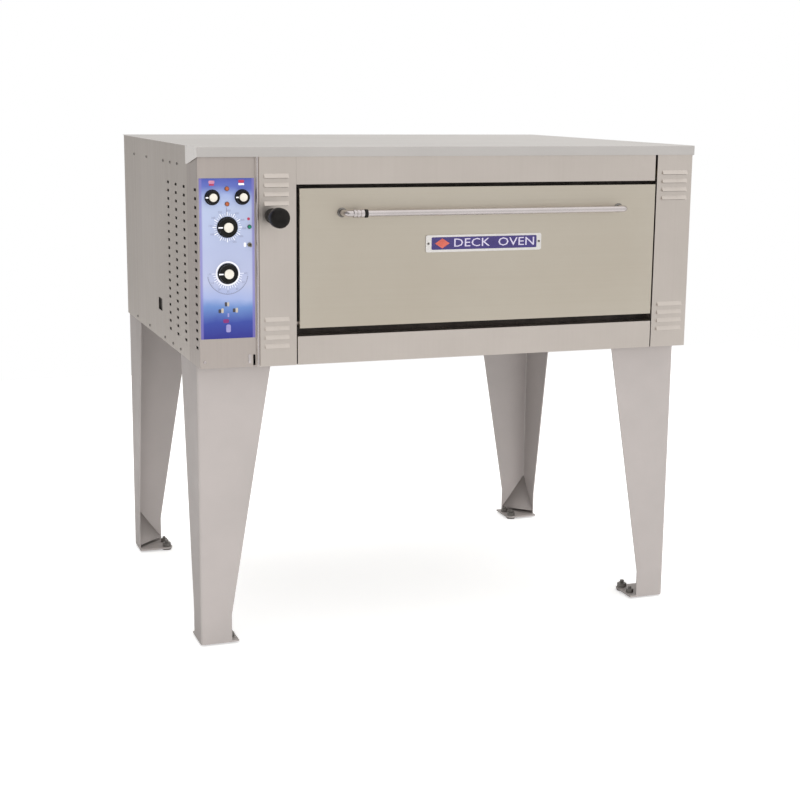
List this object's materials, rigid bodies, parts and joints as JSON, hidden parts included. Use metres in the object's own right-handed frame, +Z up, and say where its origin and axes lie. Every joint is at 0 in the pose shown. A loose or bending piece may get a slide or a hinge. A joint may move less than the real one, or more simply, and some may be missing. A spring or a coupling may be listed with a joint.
{
  "type": "deck oven",
  "caption": "Electric deck oven on four tapered legs, with a drop-down door, tubular handle, dial controls, louvred posts and a ceramic hearth.",
  "frame": {"origin": "on the floor, under the middle of the oven's bounding box", "axes": "-Y is the front, where the door is; +X is to the right of someone facing the oven; +Z is up"},
  "size_m": [1.397, 1.194, 1.323],
  "materials": {
    "casing_steel": "brushed stainless steel, vertical satin grain",
    "door_steel": "brushed stainless steel with a faint straw heat tint",
    "leg_finish": "warm light grey stove enamel",
    "plain_steel": "plain mill-finish steel",
    "polished_steel": "polished",
    "black_knob": "moulded phenolic, low gloss",
    "graphic_film": "printed film, blue fading to pale blue and back",
    "amber_lens": "amber lens",
    "green_lens": "green lens",
    "hearth_stone": "cast ceramic hearth board",
    "mineral_wool": "needled mineral wool blanket",
    "heater_sheath": "oxidised heater sheath",
    "black_moulding": "matt moulded thermoset",
    "nameplate_metal": "printed aluminium plate",
    "spring_steel": "oiled spring wire"
  },
  "bodies": {
    "casing": {"left_side_panel": "casing_steel", "right_side_panel": "casing_steel", "rear_panel": "casing_steel", "top_cover": "casing_steel", "control_panel": "casing_steel", "left_post": "casing_steel", "right_post": "casing_steel", "header_panel": "casing_steel", "sill_panel": "casing_steel", "base_pan": "plain_steel", "base_rail_left": "plain_steel", "base_rail_right": "plain_steel", "chamber_liner": "plain_steel", "stone_tray": "plain_steel", "hinge_bracket_left": "plain_steel", "hinge_bracket_right": "plain_steel", "conduit_gland": "plain_steel", "damper_bush": "plain_steel", "graphic_plate": "graphic_film", "leg_front_left": "leg_finish", "leg_front_right": "leg_finish", "leg_rear_left": "leg_finish", "leg_rear_right": "leg_finish", "leveller_front_left": "polished_steel", "leveller_front_right": "polished_steel", "leveller_rear_left": "polished_steel", "leveller_rear_right": "polished_steel", "insulation_jacket": "mineral_wool", "baking_stone_left": "hearth_stone", "baking_stone_right": "hearth_stone", "upper_element": "heater_sheath", "lower_element": "heater_sheath", "door_spring_left": "spring_steel", "door_spring_right": "spring_steel", "top_heat_switch": "black_moulding", "bottom_heat_switch": "black_moulding", "thermostat": "black_moulding", "timer": "black_moulding", "contactor": "black_moulding", "power_switch": "black_moulding", "upper_pilot_lamp": "amber_lens", "lower_pilot_lamp": "amber_lens", "power_lamp": "green_lens"},
    "door": {"door_skin": "door_steel", "door_liner": "plain_steel", "door_wool": "mineral_wool", "hinge_arm_left": "plain_steel", "hinge_arm_right": "plain_steel", "hinge_pin_left": "polished_steel", "hinge_pin_right": "polished_steel", "handle_bar": "polished_steel", "handle_sleeve": "polished_steel", "nameplate": "nameplate_metal"},
    "top_heat_dial": {"top_heat_knob": "black_knob"},
    "bottom_heat_dial": {"bottom_heat_knob": "black_knob"},
    "thermostat_dial": {"thermostat_knob": "black_knob"},
    "timer_dial": {"timer_knob": "black_knob"},
    "toggle": {"power_toggle": "polished_steel"},
    "damper": {"damper_knob": "black_knob", "damper_rod": "polished_steel"}
  },
  "joints": [
    {"name": "door_hinge", "type": "hinge", "parent": "casing", "child": "door", "pos_m": [0.07225, -0.491, 0.872], "axis": [1, 0, 0], "range_deg": [0, 90]},
    {"name": "top_heat_turn", "type": "hinge", "parent": "casing", "child": "top_heat_dial", "pos_m": [-0.6595, -0.5006, 1.198], "axis": [0, 1, 0], "range_deg": [0, 270]},
    {"name": "bottom_heat_turn", "type": "hinge", "parent": "casing", "child": "bottom_heat_dial", "pos_m": [-0.5825, -0.5006, 1.198], "axis": [0, 1, 0], "range_deg": [0, 270]},
    {"name": "thermostat_turn", "type": "hinge", "parent": "casing", "child": "thermostat_dial", "pos_m": [-0.6215, -0.5006, 1.123], "axis": [0, 1, 0], "range_deg": [0, 300]},
    {"name": "timer_turn", "type": "hinge", "parent": "casing", "child": "timer_dial", "pos_m": [-0.6215, -0.5006, 1.006], "axis": [0, 1, 0], "range_deg": [-180, 0]},
    {"name": "power_toggle_tilt", "type": "hinge", "parent": "casing", "child": "toggle", "pos_m": [-0.5645, -0.5026, 1.078], "axis": [1, 0, 0], "range_deg": [-26, 0]},
    {"name": "damper_slide", "type": "slide", "parent": "casing", "child": "damper", "axis": [0, -1, 0], "range_m": [0, 0.04]}
  ]
}
